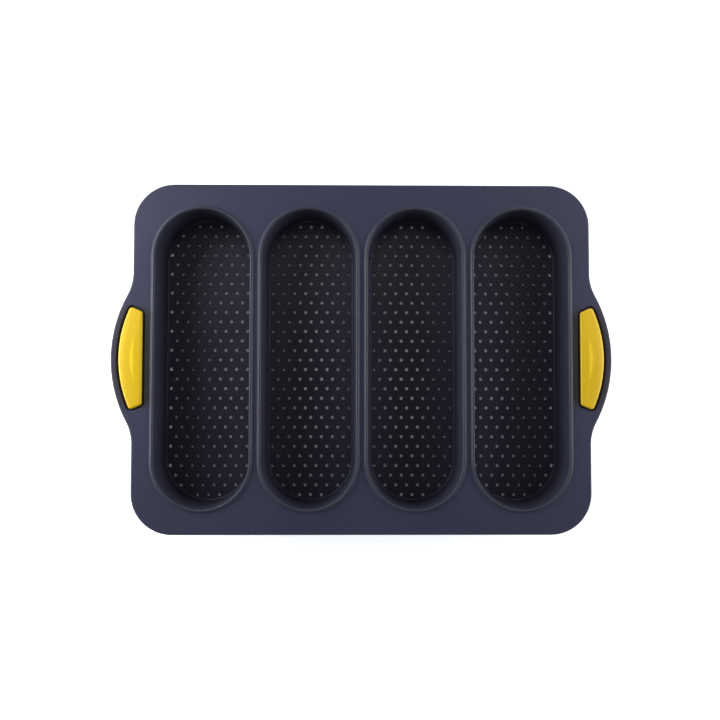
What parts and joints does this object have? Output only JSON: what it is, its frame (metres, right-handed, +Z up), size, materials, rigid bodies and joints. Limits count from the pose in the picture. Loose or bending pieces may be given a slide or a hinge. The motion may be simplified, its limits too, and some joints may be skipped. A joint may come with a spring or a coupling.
{
  "type": "baguette tray",
  "caption": "Rectangular silicone baking tray with long round-ended perforated troughs side by side, each ringed by a raised bead, and a bright grip set into a curved handle at each end.",
  "frame": {"origin": "centre of the plane the tray rests on, which is the underside of the trough floors", "axes": "+Z up, out of the trough mouths; X from handle to handle; Y along the troughs"},
  "size_m": [0.3534, 0.247, 0.032],
  "materials": {
    "tray_silicone": "satin moulded silicone",
    "grip_silicone": "satin moulded silicone",
    "wire_steel": "drawn wire"
  },
  "bodies": {
    "root": {"tray_body": "tray_silicone", "rim_frame": "wire_steel", "grip_left": "grip_silicone", "grip_right": "grip_silicone"}
  },
  "joints": []
}
